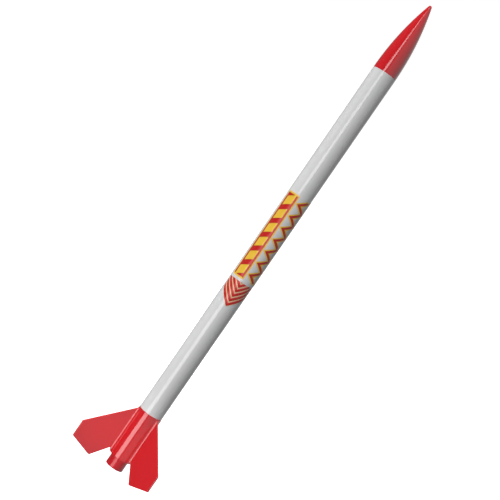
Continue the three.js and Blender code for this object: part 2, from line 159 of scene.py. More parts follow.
def make_camera():
    data = bpy.data.cameras.new("camera")
    data.sensor_width = SENSOR
    data.lens = LENS
    data.clip_start, data.clip_end = 0.05, 50
    camera = linked("camera", data)
    camera.location = facing(CAMERA_AZIMUTH, 0, CAMERA_DISTANCE, CAMERA_HEIGHT)
    aim = facing(CAMERA_AZIMUTH, AIM_ASIDE, 0, AIM_HEIGHT)
    camera.rotation_mode = "QUATERNION"
    look = (aim - camera.location).to_track_quat("-Z", "Y")
    camera.rotation_quaternion = look @ Quaternion((0, 0, 1), radians(CAMERA_ROLL))
    bpy.context.scene.camera = camera


GLOW = 3.75  # radiance of the key light, and of the strip that is mirrored
SOFT_BOXES = (  # bearing from the camera's, distance, height, size, radiance
    ("key", -25, 1.28, 0.1, (0.6, 1.7), GLOW),
    ("left_fill", -88, 1.6, 0.4, (1.5, 2.0), 1.3),
    ("back_fill_left", -150, 1.8, 0.5, (1.4, 1.6), 2.8),
    ("back_fill_right", 160, 1.8, 0.5, (1.4, 1.6), 2.8),
)
FIN_FILL, FIN_FILL_SPREAD, FIN_FILL_RADIUS = 10.5, 7, 0.03
FIN_FILL_BEARING, FIN_FILL_DISTANCE = 30, 0.9
LEFT_FIN = (-60, 0.035, 0.03)  # view azimuth it faces, from the axis, height
OVERHEAD, OVERHEAD_SPREAD = 2.7, 20
STRIP_DISTANCE, STRIP_RIGHT = 1.3, -9  # metres, and the right edge's bearing
STRIP_LEFT = ((-45, -0.75), (-44, -0.25), (-33, 0.35), (-22, 0.95), (-24, 2.2))  # bearing, height
AMBIENT, MIRRORED_LEFT, MIRRORED_RIGHT, MIRROR_BLEND = 0.02, 0.12, 0.66, 0.15
FLOOR_Z = -0.076  # below the motor when it is drawn right out
FLOOR_R, COVE_R, WALL_TOP, FLOOR_GLOW = 4.0, 1.5, 6.0, 0.95


def add_light(name, kind, place, target, strength):
    """A light that isn't mirrored itself: the strip and the surround are what surfaces mirror."""
    data = bpy.data.lights.new(name, kind)
    data.energy = strength
    light = linked(name, data)
    light.location = place
    light.rotation_euler = (target - place).to_track_quat("-Z", "Y").to_euler()
    light.visible_glossy = False
    return data


def make_lights():
    """Soft boxes that leave the right side darker, a spot on the left fin, and light from above."""
    make_strip()
    for name, bearing, distance, height, size, radiance in SOFT_BOXES:
        place = facing(CAMERA_AZIMUTH + bearing, 0, distance, height)
        power = radiance * pi * size[0] * size[1]
        box = add_light(name, "AREA", place, Vector((0, 0, height)), power)
        box.shape = "RECTANGLE"
        box.size, box.size_y = size
    azimuth, distance, height = LEFT_FIN
    left_fin = facing(azimuth, 0, distance, height)
    place = facing(CAMERA_AZIMUTH + FIN_FILL_BEARING, 0, FIN_FILL_DISTANCE, 0.0)
    spot = add_light("fin_fill", "SPOT", place, left_fin, FIN_FILL)
    spot.spot_size, spot.spot_blend = radians(FIN_FILL_SPREAD), 1.0
    spot.shadow_soft_size = FIN_FILL_RADIUS
    overhead = add_light("overhead", "SUN", Vector((0, 0, 3)), Vector(), OVERHEAD)
    overhead.angle = radians(OVERHEAD_SPREAD)


def make_strip():
    """A tall glowing panel, front left, wider at its foot: the tube mirrors it as a long highlight."""
    mesh = bmesh.new()
    rows = []
    for left, height in STRIP_LEFT:
        turns = (radians(left), radians(STRIP_RIGHT))
        sides = [(STRIP_DISTANCE * sin(a), STRIP_DISTANCE * cos(a)) for a in turns]
        rows.append([mesh.verts.new(facing(CAMERA_AZIMUTH, *side, height)) for side in sides])
    loft(mesh, rows, closed=False)
    strip = scenery("strip", mesh, glow_look())
    strip.visible_camera = False
    strip.visible_diffuse = False
    strip.visible_shadow = False


def object_of(name, mesh):
    data = bpy.data.meshes.new(name)
    mesh.to_mesh(data)
    mesh.free()
    return linked(name, data)


def scenery(name, mesh, material):
    made = object_of(name, mesh)
    made.data.materials.append(material)
    return made


def make_world():
    """A dim surround, brighter in reflections on the right, and white where the camera sees it."""
    world = bpy.data.worlds.new("studio")
    bpy.context.scene.world = world
    world.use_nodes = True
    world.cycles.sampling_method = "NONE"
    nodes, links = world.node_tree.nodes, world.node_tree.links
    path = nodes.new("ShaderNodeLightPath")

    def background(strength):
        made = nodes.new("ShaderNodeBackground")
        made.inputs["Color"].default_value = (1, 1, 1, 1)
        made.inputs["Strength"].default_value = strength
        return made

    def choose(share, one, other):
        made = nodes.new("ShaderNodeMixShader")
        links.new(share, made.inputs[0])
        links.new(one.outputs[0], made.inputs[1])
        links.new(other.outputs[0], made.inputs[2])
        return made

    coords = nodes.new("ShaderNodeTexCoord")
    side = nodes.new("ShaderNodeVectorMath")
    side.operation = "DOT_PRODUCT"
    links.new(coords.outputs["Generated"], side.inputs[0])
    side.inputs[1].default_value = facing(CAMERA_AZIMUTH, 1, 0, 0)
    ramp = nodes.new("ShaderNodeMapRange")
    ramp.interpolation_type = "SMOOTHSTEP"
    ramp.inputs["From Min"].default_value = -MIRROR_BLEND
    ramp.inputs["From Max"].default_value = MIRROR_BLEND
    links.new(side.outputs["Value"], ramp.inputs["Value"])
    mirrored = choose(ramp.outputs["Result"], background(MIRRORED_LEFT), background(MIRRORED_RIGHT))
    lit = choose(path.outputs["Is Glossy Ray"], background(AMBIENT), mirrored)
    seen = choose(path.outputs["Is Camera Ray"], lit, background(1.0))
    links.new(seen.outputs[0], nodes["World Output"].inputs["Surface"])


# ---- shader nodes


class Value:
    """A number inside a material. Arithmetic on it adds the nodes that work it out."""

    def __init__(self, look, socket):
        self.look, self.socket = look, socket

    def __add__(self, other):
        return self.look.math("ADD", self, other)

    def __sub__(self, other):
        return self.look.math("SUBTRACT", self, other)

    def __mul__(self, other):
        return self.look.math("MULTIPLY", self, other)

    def __truediv__(self, other):
        return self.look.math("DIVIDE", self, other)

    def __abs__(self):
        return self.look.math("ABSOLUTE", self)


class Look:
    """A material being built. Its methods add nodes; most return what the last of them gives."""

    def __init__(self, name, **surface):
        self.material = bpy.data.materials.new(name)
        self.material.use_nodes = True
        self.tree = self.material.node_tree
        self.bsdf = self.tree.nodes["Principled BSDF"]
        for key, value in surface.items():
            self.bsdf.inputs[key.replace("_", " ")].default_value = value

    def node(self, kind):
        return self.tree.nodes.new("ShaderNode" + kind)

    def put(self, socket, value):
        if isinstance(value, Value):
            value = value.socket
        if isinstance(value, bpy.types.NodeSocket):
            self.tree.links.new(value, socket)
        else:
            socket.default_value = value

    def surface(self, key, value):
        self.put(self.bsdf.inputs[key], value)

    def place(self, scale=(1, 1, 1)):
        coords = self.node("TexCoord")
        mapping = self.node("Mapping")
        self.put(mapping.inputs["Vector"], coords.outputs["Object"])
        mapping.inputs["Scale"].default_value = scale
        return mapping.outputs["Vector"]

    def math(self, operation, a, b=0.0):
        node = self.node("Math")
        node.operation = operation
        self.put(node.inputs[0], a)
        self.put(node.inputs[1], b)
        return Value(self, node.outputs[0])

    def axes(self):
        split = self.node("SeparateXYZ")
        self.put(split.inputs[0], self.place())
        return [Value(self, output) for output in split.outputs]

    def turn(self, centre=(0.0, 0.0)):
        """The azimuth round an upright axis, in turns from -0.5 to 0.5."""
        x, y, _ = self.axes()
        x, y = x - centre[0], y - centre[1]
        return self.math("ARCTAN2", y, x) / (2 * pi)

    def radius(self):
        x, y, _ = self.axes()
        return self.math("SQRT", x * x + y * y)

    def noise(self, scale, detail=3.0, stretch=(1, 1, 1)):
        node = self.node("TexNoise")
        self.put(node.inputs["Vector"], self.place(stretch))
        node.inputs["Scale"].default_value = scale
        node.inputs["Detail"].default_value = detail
        return node.outputs["Fac"]

    def ramp(self, value, stops):
        """Maps a value through (position, colour or grey) stops."""
        node = self.node("ValToRGB")
        elements = node.color_ramp.elements
        while len(elements) < len(stops):
            elements.new(0.5)
        for element, (position, colour) in zip(elements, stops):
            element.position = position
            element.color = (*colour, 1) if isinstance(colour, tuple) else (colour, colour, colour, 1)
        self.put(node.inputs[0], value)
        return node.outputs["Color"]

    def mix(self, factor, a, b):
        node = self.node("Mix")
        node.data_type = "RGBA"
        self.put(node.inputs[0], factor)
        self.put(node.inputs[6], (*a, 1) if isinstance(a, tuple) else a)
        self.put(node.inputs[7], (*b, 1) if isinstance(b, tuple) else b)
        return node.outputs[2]

    def bump(self, height, depth_mm, below=None):
        node = self.node("Bump")
        node.inputs["Strength"].default_value = 1.0
        node.inputs["Distance"].default_value = depth_mm * MM
        self.put(node.inputs["Height"], height)
        if below is not None:
            self.put(node.inputs["Normal"], below)
        return node.outputs["Normal"]

    def colour(self, factor, a, b):
        self.surface("Base Color", self.mix(factor, a, b))

    def roughness(self, factor, a, b):
        self.surface("Roughness", self.mix(factor, (a,) * 3, (b,) * 3))

    def relief(self, height, depth_mm, below=None):
        self.surface("Normal", self.bump(height, depth_mm, below))

    def cell(self, value, shift):
        """How far a value is past a whole number, 0 to 1; the shift keeps it positive."""
        return self.math("FRACT", value + shift)

    def seam(self, pitch_mm, width, centre=(0.0, 0.0)):
        """0 along a wound tube's spiral joint, 1 between."""
        _, _, z = self.axes()
        along = z / (pitch_mm * MM) + self.turn(centre)
        return self.ramp(abs(self.cell(along, 10.0) - 0.5), [(0.0, 0.0), (width, 1.0)])


# ---- materials


def white_tube_look():
    """Glossy coated paper outside with a faint spiral joint, bare brown paper inside."""
    look = Look("white coated tube", Coat_Weight=1.0, Coat_Roughness=0.05, Specular_IOR_Level=0.25)
    # the change is inside the wall, 12.2 mm from the axis
    outside = look.ramp(look.radius() * 40.0, [(0.4878, 0.0), (0.4882, 1.0)])
    fibres = look.noise(900.0, 6.0, (1, 1, 0.25))
    white = look.mix(look.noise(60.0), (0.84, 0.845, 0.85), (0.87, 0.87, 0.865))
    brown = look.mix(fibres, (0.42, 0.28, 0.15), (0.55, 0.40, 0.24))
    look.colour(outside, brown, white)
    look.roughness(outside, 0.85, 0.38)
    seam = look.bump(look.seam(78.0, 0.006), 0.03)
    look.relief(fibres, 0.006, seam)
    return look.material


def red_plastic_look():
    """Semi-gloss moulded plastic: even red with faint flow mottling and orange peel."""
    look = Look("red moulded plastic", Coat_Weight=0.9, Coat_Roughness=0.06, IOR=1.5)
    flow = look.noise(35.0, 2.0, (1, 1, 0.4))
    look.colour(flow, (0.76, 0.008, 0.016), (0.82, 0.012, 0.020))
    look.roughness(look.noise(240.0), 0.10, 0.16)
    look.relief(look.noise(420.0, 2.0), 0.002)
    return look.material


def red_tube_look():
    """The motor tube: red coated paper outside, brown inside, with its own spiral joint."""
    look = Look("red coated tube", Coat_Weight=0.5, Coat_Roughness=0.12)
    # the change is inside the wall, 9.175 mm from the axis
    outside = look.ramp(look.radius() * 50.0, [(0.4585, 0.0), (0.4590, 1.0)])
    fibres = look.noise(900.0, 6.0, (1, 1, 0.25))
    red = look.mix(look.noise(50.0), (0.60, 0.006, 0.014), (0.70, 0.010, 0.020))
    brown = look.mix(fibres, (0.38, 0.25, 0.13), (0.52, 0.37, 0.21))
    look.colour(outside, brown, red)
    look.roughness(fibres, 0.30, 0.42)
    look.relief(fibres, 0.006, look.bump(look.seam(52.0, 0.008), 0.03))
    return look.material


def wound_paper_look(name, dark, light, pitch_mm, roughness=0.8, centre=(0.0, 0.0)):
    """Bare spiral-wound paper or kraft, wound round an upright axis."""
    look = Look(name)
    fibres = look.noise(700.0, 8.0, (1, 1, 0.3))
    seam = look.seam(pitch_mm, 0.02, centre)
    look.colour(seam, tuple(0.7 * c for c in dark), look.mix(fibres, dark, light))
    look.roughness(fibres, roughness, min(1, roughness + 0.12))
    look.relief(fibres, 0.03, look.bump(seam, 0.06))
    return look.material


def card_look():
    """Die-cut card: laminated layers show on the edge, fibres on the faces."""
    look = Look("die-cut card")
    _, _, z = look.axes()
    layers = look.cell(z * (1 / (0.75 * MM)), 100.0)
    fibres = look.noise(800.0, 8.0)
    tone = look.mix(fibres, (0.50, 0.36, 0.21), (0.66, 0.52, 0.34))
    look.colour(look.ramp(layers, [(0.0, 0.0), (0.12, 1.0)]), (0.36, 0.25, 0.14), tone)
    look.roughness(fibres, 0.8, 0.95)
    look.relief(fibres, 0.05)
    return look.material


def powder_look():
    """Pressed black powder: near black with a slight graphite glint."""
    look = Look("pressed black powder")
    grit = look.noise(3000.0, 8.0)
    look.surface("Base Color", look.ramp(grit, [(0.35, 0.012), (0.62, 0.035), (0.74, 0.14)]))
    look.surface("Roughness", look.ramp(grit, [(0.4, 0.95), (0.75, 0.5)]))
    look.relief(grit, 0.1)
    return look.material


def grained_look(name, grain, dark, light, rough, depth_mm, tone=None, gloss=None, coarse=None, **surface):
    """A stuff of fine grain. Each noise is a (scale, detail, stretch).

    The grain drives colour, roughness and relief, unless tone or gloss is given for the first two;
    coarse is a deeper relief under it, as a noise and its depth.
    """
    look = Look(name, **surface)
    fine = look.noise(*grain)
    look.colour(look.noise(*tone) if tone else fine, dark, light)
    look.roughness(look.noise(*gloss) if gloss else fine, *rough)
    below = look.bump(look.noise(*coarse[0]), coarse[1]) if coarse else None
    look.relief(fine, depth_mm, below)
    return look.material


def elastic_look():
    """Flat woven elastic: ribs along its length, crossed by a fine weft, with painted shade where the
    weave sinks.
    """
    look = Look("woven elastic", Sheen_Weight=0.3)
    x, y, z = look.axes()
    ribs = look.math("SINE", y * (2 * pi / (0.4 * MM)))
    weft = look.math("SINE", (z + x) * (2 * pi / (0.5 * MM)))
    weave = ribs * weft * 0.25 + 0.5
    # the colour is darker wherever the weave sinks: painted shade in its hollows
    look.colour(weave, (0.62, 0.60, 0.54), (0.88, 0.87, 0.82))
    look.roughness(weave, 0.8, 0.95)
    look.relief(weave, 0.1)
    return look.material


def film_look():
    """Thin crinkled polythene, orange-red with paler gores."""
    look = Look("canopy film", Coat_Weight=0.3, Coat_Roughness=0.15, Transmission_Weight=0.08)
    crinkle = look.noise(180.0, 6.0, (1, 1, 0.5))
    gores = look.ramp(look.cell(look.turn() * 5.0, 5.0), [(0.48, 0.0), (0.52, 1.0)])
    orange = look.mix(crinkle, (0.80, 0.10, 0.02), (0.92, 0.20, 0.05))
    white = look.mix(crinkle, (0.78, 0.77, 0.74), (0.9, 0.9, 0.88))
    look.colour(gores, orange, white)
    look.roughness(crinkle, 0.25, 0.45)
    look.relief(crinkle, 0.12)
    return look.material


RED_INK = (0.62, 0.012, 0.010)
DARK_INK = (0.26, 0.020, 0.008)
YELLOW_INK = (1.0, 0.62, 0.05)
PEACH_INK = (1.0, 0.66, 0.38)
SALMON_INK = (0.86, 0.22, 0.17)
PAPER_WHITE = (0.85, 0.855, 0.855)


class Print(Look):
    """Gloss sticker film. Marks are drawn by their signed distance in millimetres, inside negative."""

    def __init__(self, name, azimuth):
        super().__init__(name, Coat_Weight=0.25, Coat_Roughness=0.2)
        _, _, z = self.axes()
        self.up = z * (1 / MM)
        self.across = (self.turn() - azimuth / 360) * (2 * pi * TUBE_R)

    def inked(self, distance, inks):
        """Colours a distance by (outer edge in mm, ink) bands, the film's white outside the last."""
        span, blur = 8.0, 0.004
        value = distance / span + 0.5
        stops = []
        last = 0.0
        for edge, ink in inks:
            stops.append((last, ink))
            last = edge / span + 0.5
            stops.append((last - blur, ink))
        stops.append((last + blur, PAPER_WHITE))
        return self.ramp(value, stops)

    def finish(self, colour):
        grain = self.noise(1400.0, 4.0)
        self.surface("Base Color", colour)
        self.roughness(grain, 0.34, 0.44)
        self.relief(grain, 0.004)
        return self.material


LEFT_ROW, RIGHT_ROW = -111.0, -39.0  # azimuths of the two rows' middles
ROW_MARGIN, ROW_CLIP = 1.4, 1.0  # from the film's ends to the ground, and on to the marks
RAIL_OUT, RAIL_HALF = 5.0, 0.95  # from the left row's middle to each rail, and half its width
RUNG_LEAN, RUNG_PITCH, RUNG_SQUASH, RUNG_HALF = 0.6, 15.8, 0.86, 2.6
GROUND_IN, GROUND_LEAST = 0.5, 0.4
ZIGZAG_PITCH, ZIGZAG_SWING, ZIGZAG_SHIFT, ZIGZAG_SQUASH, ZIGZAG_HALF = 13.4, 1.4, 4.7, 0.58, 1.2
STRIPE_PITCH = 5.2
BAND_INKS = [(-0.3, RED_INK), (0.0, DARK_INK), (0.9, YELLOW_INK), (1.4, PEACH_INK)]
ARROW_INKS = [(-2.0, PEACH_INK), (-1.5, DARK_INK), (1.1, RED_INK), (1.9, SALMON_INK), (3.0, PEACH_INK)]


def band_look():
    """Two rows of marks: a ladder of slanted rungs on the left, a zigzag line on the right."""
    look = Print("sticker print, rows", (LEFT_ROW + RIGHT_ROW) / 2)
    apart = (RIGHT_ROW - LEFT_ROW) / 360 * 2 * pi * TUBE_R / 2
    middle, half = sum(BAND_Z) / 2, (BAND_Z[1] - BAND_Z[0]) / 2 - ROW_MARGIN
    ends = abs(look.up - middle) - half

    def saw(value, period):
        """Distance from the nearest whole number of periods."""
        return abs(look.cell(value / period, 100.5) - 0.5) * period

    def clipped(distance):
        return look.math("MAXIMUM", distance, ends + ROW_CLIP)

    left, right = -apart, apart
    aside = look.across - left
    off_axis = abs(aside)
    rails = abs(off_axis - RAIL_OUT) - RAIL_HALF
    rungs = saw((look.up - middle) - aside * RUNG_LEAN, RUNG_PITCH) * RUNG_SQUASH - RUNG_HALF
    between = off_axis - RAIL_OUT
    ladder = look.math("MINIMUM", rails, look.math("MAXIMUM", rungs, between))
    ground = look.math("MAXIMUM", between, ends) + GROUND_IN
    ladder = look.math("MINIMUM", clipped(ladder), look.math("MAXIMUM", ground, GROUND_LEAST))

    aside = look.across - right
    wave = saw(look.up - middle, ZIGZAG_PITCH) * ZIGZAG_SWING - ZIGZAG_SHIFT
    zigzag = clipped(abs(aside - wave) * ZIGZAG_SQUASH - ZIGZAG_HALF)

    side = look.math("GREATER_THAN", look.across, 0.0)
    return look.finish(look.mix(side, look.inked(ladder, BAND_INKS), look.inked(zigzag, BAND_INKS)))


def arrow_look():
    """A plain arrowhead of nested bands that points to the tail."""
    look = Print("sticker print, arrow", ARROW_AZIMUTH)
    slope = (ARROW_Z[1] - ARROW_Z[0]) / ARROW_HALF
    depth = (look.up - ARROW_Z[0]) - abs(look.across) * slope
    stripe = (look.cell(depth / STRIPE_PITCH, 10.0) - 0.5) * STRIPE_PITCH
    return look.finish(look.inked(stripe, ARROW_INKS))


def glow_look():
    material = bpy.data.materials.new("glow")
    material.use_nodes = True
    nodes = material.node_tree.nodes
    nodes.remove(nodes["Principled BSDF"])
    emission = nodes.new("ShaderNodeEmission")
    emission.inputs["Strength"].default_value = GLOW
    material.cycles.emission_sampling = "NONE"
    material.node_tree.links.new(emission.outputs[0], nodes["Material Output"].inputs["Surface"])
    return material


def floor_look():
    """Pale and softly glowing from inside the bowl, see-through from below and behind."""
    look = Look("pale floor")
    look.colour(look.noise(3.0), (0.56, 0.56, 0.56), (0.60, 0.60, 0.60))
    look.roughness(look.noise(40.0), 0.6, 0.7)
    look.bsdf.inputs["Emission Color"].default_value = (1, 1, 1, 1)
    look.bsdf.inputs["Emission Strength"].default_value = FLOOR_GLOW
    look.material.cycles.emission_sampling = "NONE"
    facing_away = look.node("NewGeometry").outputs["Backfacing"]
    clear = look.node("BsdfTransparent")
    choice = look.node("MixShader")
    look.put(choice.inputs[0], facing_away)
    look.put(choice.inputs[1], look.bsdf.outputs[0])
    look.put(choice.inputs[2], clear.outputs[0])
    look.put(look.tree.nodes["Material Output"].inputs["Surface"], choice.outputs[0])
    return look.material


# ---- mesh helpers


def rounded(points, radius, steps=4, keep=()):
    """A closed outline with each corner turned into an arc, apart from the corners in keep."""
    made = []
    for i, corner in enumerate(points):
        before, after = Vector(points[i - 1]), Vector(points[(i + 1) % len(points)])
        here = Vector(corner)
        back, on = before - here, after - here
        turn = back.angle(on) if back.length > 1e-6 and on.length > 1e-6 else pi
        if i in keep or abs(turn - pi) < 0.02:
            made.append(tuple(here))
            continue
        cut = min(radius / tan(turn / 2), 0.45 * back.length, 0.45 * on.length)
        size = cut * tan(turn / 2)
        bisector = (back.normalized() + on.normalized()).normalized()
        centre = here + bisector * (size / sin(turn / 2))
        start = here + back.normalized() * cut - centre
        sweep = start.angle_signed(here + on.normalized() * cut - centre)
        for k in range(steps + 1):
            angle = -sweep * k / steps
            made.append(tuple(centre + Matrix.Rotation(angle, 2) @ start))
    return made


def piece(name, mesh, body, material, replaces=(), smooth=35):
    """Makes a shown piece: closed, sharp only at real edges, riding on its body."""
    bmesh.ops.remove_doubles(mesh, verts=mesh.verts, dist=1e-7)
    bmesh.ops.recalc_face_normals(mesh, faces=mesh.faces)
    for face in mesh.faces:
        face.smooth = True
    for edge in mesh.edges:
        edge.smooth = edge.is_manifold and edge.calc_face_angle(0) < radians(smooth)
    shown = object_of(name, mesh)
    shown.data.materials.append(material)
    flat_faces = shown.modifiers.new("flat faces stay flat", "WEIGHTED_NORMAL")
    flat_faces.keep_sharp = True
    if body:
        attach(shown, body)
    if replaces:
        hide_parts(*replaces)
    return shown


def arc(radius, start, sweep, steps):
    """Points along an arc round the origin, both ends included."""
    turns = [start + sweep * k / steps for k in range(steps + 1)]
    return [(radius * cos(a), radius * sin(a)) for a in turns]


def circle(radius, sides):
    return arc(radius, 0, 2 * pi, sides)[:-1]


def bridge(mesh, one, two, closed=True):
    """Joins two matching rows of points with faces; a closed row is a ring."""
    count = len(one)
    for k in range(count if closed else count - 1):
        after = (k + 1) % count
        mesh.faces.new([one[k], one[after], two[after], two[k]])


def loft(mesh, rows, closed=True, capped=False):
    """Joins each row of points to the next with faces, and closes the two ends if capped."""
    for one, two in zip(rows, rows[1:]):
        bridge(mesh, one, two, closed)
    if capped:
        mesh.faces.new(rows[0])
        mesh.faces.new(rows[-1])


def holed(mesh, levels):
    """Closes a solid with a hole through it, from levels that each have an outer and an inner ring."""
    for (outer_a, inner_a), (outer_b, inner_b) in zip(levels, levels[1:]):
        bridge(mesh, outer_a, outer_b)
        bridge(mesh, inner_a, inner_b)
    for outer, inner in (levels[0], levels[-1]):
        bridge(mesh, outer, inner)
    return mesh


def lathe(profile, sides=ROUND):
    """A solid of revolution about Z from a closed (radius, height) outline in millimetres."""
    mesh = bmesh.new()
    rings = []
    for radius, height in profile:
        if radius < 1e-6:
            rings.append([mesh.verts.new((0, 0, height * MM))] * sides)
            continue
        rings.append([mesh.verts.new((x, y, height * MM)) for x, y in circle(radius * MM, sides)])
    for below, above in zip(rings, rings[1:] + rings[:1]):
        for k in range(sides):
            corners = [below[k], below[(k + 1) % sides], above[(k + 1) % sides], above[k]]
            unique = list(dict.fromkeys(corners))
            if len(unique) > 2:
                mesh.faces.new(unique)
    return mesh


def ring(inner, outer, bottom, top, edge, sides=ROUND):
    """A tube whose edges are rounded to a radius."""
    outline = [(inner, bottom), (outer, bottom), (outer, top), (inner, top)]
    return lathe(rounded(outline, edge), sides)


def drum(outer, bottom, top, edge):
    """A disc or plug whose outer edges are rounded to a radius."""
    outline = [(0, bottom), (outer, bottom), (outer, top), (0, top)]
    return lathe(rounded(outline, edge, keep=(0, 3)))


def strand(points, section, closed=False, mesh=None):
    """Sweeps a closed (across, up) section in millimetres along points in metres."""
    mesh = mesh or bmesh.new()
    points = [Vector(p) for p in points]
    count = len(points)
    normal = None
    rings = []
    for i, point in enumerate(points):
        ahead = points[(i + 1) % count] if closed else points[min(i + 1, count - 1)]
        behind = points[i - 1] if closed or i else points[0]
        tangent = (ahead - behind).normalized()
        if normal is None:
            normal = tangent.orthogonal().normalized()
            if abs(tangent.y) < 0.9:
                normal = Vector((0, 1, 0))
        normal = (normal - tangent * normal.dot(tangent)).normalized()
        other = tangent.cross(normal)
        rings.append([mesh.verts.new(point + (normal * a + other * b) * MM) for a, b in section])
    if closed:
        rings.append(rings[0])
    loft(mesh, rings, capped=not closed)
    return mesh


def flat_oval(width, thick, sides=16):
    """A flat band's section with rounded edges."""
    edge = thick / 2
    points = []
    for k in range(sides):
        angle = 2 * pi * (k + 0.5) / sides
        shift = copysign(width / 2 - edge, cos(angle))
        points.append((shift + edge * cos(angle), edge * sin(angle)))
    return points


def curve_through(points, steps):
    """Catmull-Rom points through a short list, in the list's own units."""
    points = [Vector(p) for p in points]
    ends = [points[0] * 2 - points[1], *points, points[-1] * 2 - points[-2]]
    made = []
    for a, b, c, d in zip(ends, ends[1:], ends[2:], ends[3:]):
        for k in range(steps):
            t = k / steps
            made.append(0.5 * (2 * b + (c - a) * t + (2 * a - 5 * b + 4 * c - d) * t * t
                               + (3 * b - a - 3 * c + d) * t ** 3))
    return [*made, points[-1]]


# ---- nose


def ogive(radius, length, tip, base, steps=56):
    """A blunted tangent ogive's half-outline from its base to its tip."""
    sweep = ((length - tip) ** 2 / (radius - tip) + radius + tip) / 2
    join = asin((length - tip) / (sweep - tip))
    side = [(radius - sweep + x, base + z) for x, z in arc(sweep, 0, join, steps)]
    centre = base + length - tip
    cap = [(x, centre + z) for x, z in arc(tip, join, pi / 2 - join, 8)[1:-1]]
    return [*side, *cap, (0, base + length)]


def make_nose(red, black):
    top = TUBE_ENDS[1]
    seat = top + NOSE_GAP
    across, up = SHOULDER_CHAMFER
    inside = ogive(TUBE_R - NOSE_WALL, NOSE_LENGTH - NOSE_SOLID_TIP, NOSE_TIP_R, top, 30)
    outside = ogive(TUBE_R, NOSE_LENGTH, NOSE_TIP_R, top)
    outline = [
        *reversed(inside), (SHOULDER_BORE, top - SHOULDER_BORE_TOP), (SHOULDER_BORE, SHOULDER_BOTTOM),
        (SHOULDER_R - across, SHOULDER_BOTTOM), (SHOULDER_R, SHOULDER_BOTTOM + up),
        (SHOULDER_R, seat), (TUBE_R - NOSE_RIM_R, seat), (TUBE_R, seat + NOSE_RIM_R), *outside[2:],
    ]
    piece("nose_cone_shell", lathe(outline, FINE_ROUND), "nose", red, ["nose_cone"])

    cup = rounded([
        (0, PLUG_BOTTOM), (PLUG_LIP_R, PLUG_BOTTOM), (PLUG_LIP_R, PLUG_LIP_TOP), (PLUG_R, PLUG_LIP_TOP),
        (PLUG_R, PLUG_TOP), (PLUG_R - PLUG_WALL, PLUG_TOP), (PLUG_R - PLUG_WALL, PLUG_FLOOR_TOP),
        (0, PLUG_FLOOR_TOP),
    ], PLUG_EDGE, keep=(0, 7))
    piece("nose_plug_cup", lathe(cup, 120), "nose", black, ["nose_plug"])
    piece("nose_eye", eye_mesh(), "nose", black, ["nose_plug"])


def eye_mesh():
    """A rounded lug with a hole through it along X, standing out of the plug's underside."""
    mesh = bmesh.new()
    half = EYE_WIDTH / 2
    centre = EYE_BOTTOM + half
    arch = [(y, centre + z) for y, z in arc(half, pi, pi, 28)]
    outer = [(-half, EYE_TOP), *arch, (half, EYE_TOP)]
    inner = [(y, EYE_Z + z) for y, z in arc(EYE_BORE, pi * 0.75, 2 * pi, len(outer))[:-1]]

    def scaled(outline, x, middle, by):
        places = [(x * MM, y * by * MM, (middle + (z - middle) * by) * MM) for y, z in outline]
        return [mesh.verts.new(place) for place in places]

    levels = []
    for side, shrink in ((-1, EYE_EDGE), (-1, 0), (1, 0), (1, EYE_EDGE)):
        x = side * (EYE_THICK / 2 - (0 if shrink else EYE_EDGE))
        grow = 1 + shrink / EYE_BORE
        tight = 1 - shrink / half
        levels.append((scaled(outer, x, centre, tight), scaled(inner, x, EYE_Z, grow)))
    return holed(mesh, levels)


# ---- fin unit


def fin_heights(outline, x):
    """The lowest and highest height at which the upright line at radius x meets a closed outline."""
    found = []
    for (ax, az), (bx, bz) in zip(outline, outline[1:] + outline[:1]):
        if min(ax, bx) - 1e-9 <= x <= max(ax, bx) + 1e-9 and abs(ax - bx) > 1e-9:
            found.append(az + (bz - az) * (x - ax) / (bx - ax))
    return min(found), max(found)


def fin_stations(outline):
    """The fin's (radius, half thickness) from root to tip: the fillet, the flat and the rounded edge."""
    reach = CAN_R + FILLET_R - FILLET_SINK
    centre_y = FIN_HALF + FILLET_R
    centre_x = sqrt(reach ** 2 - centre_y ** 2)
    start = atan2(centre_y, centre_x) - FILLET_LEAD
    curve = arc(FILLET_R, pi + start, pi / 2 - start, 12)
    fillet = [(centre_x + x, centre_y + y) for x, y in curve]
    flat_end, flat_half = FIN_OUTLINE[0][0] - FIN_EDGE_R, FIN_HALF - FIN_EDGE_R
    flat = [*FIN_STATIONS, *(x for x, _ in outline if FIN_CLEAR < x < flat_end)]
    return [
        (fillet[0][0] - FIN_ROOT_STEP, fillet[0][1]), *fillet,
        *((x, FIN_HALF) for x in sorted(set(round(x, 4) for x in flat))),
        *((flat_end + x, flat_half + y) for y, x in arc(FIN_EDGE_R, 0, pi / 2, 6)),
    ]


def fin_mesh(azimuth):
    """One fin with its root fillets, lofted outwards from inside the sleeve's wall."""
    tip = FIN_OUTLINE[0][0]
    slope = (FIN_LEAD[1] - FIN_OUTLINE[0][1]) / (tip - FIN_LEAD[0])
    root_top = (FIN_BURIED_R, FIN_LEAD[1] + slope * (FIN_LEAD[0] - FIN_BURIED_R))
    root_z = CAN_ENDS[0] + FIN_ROOT_LIFT
    corners = [root_top, *FIN_OUTLINE, (FIN_LEAD[0], root_z), (FIN_BURIED_R, root_z)]
    outline = rounded(corners, FIN_CORNER_R, 6, keep=(0, 3, 4, 5, 6, 7))
    mesh = bmesh.new()
    turn = Matrix.Rotation(radians(azimuth), 3, "Z")
    rings = []
    for x, half in fin_stations(outline):
        low, high = fin_heights(outline, min(max(x, FIN_BURIED_R), tip - 1e-4))
        box = [(half, low), (half, high), (-half, high), (-half, low)]
        section = rounded(box, min(FIN_EDGE_R, half), 5)
        rings.append([mesh.verts.new(turn @ Vector((x, y, z)) * MM) for y, z in section])
    loft(mesh, rings, capped=True)
    return mesh


def solid_of(name, mesh):
    bmesh.ops.recalc_face_normals(mesh, faces=mesh.faces)
    return object_of(name, mesh)


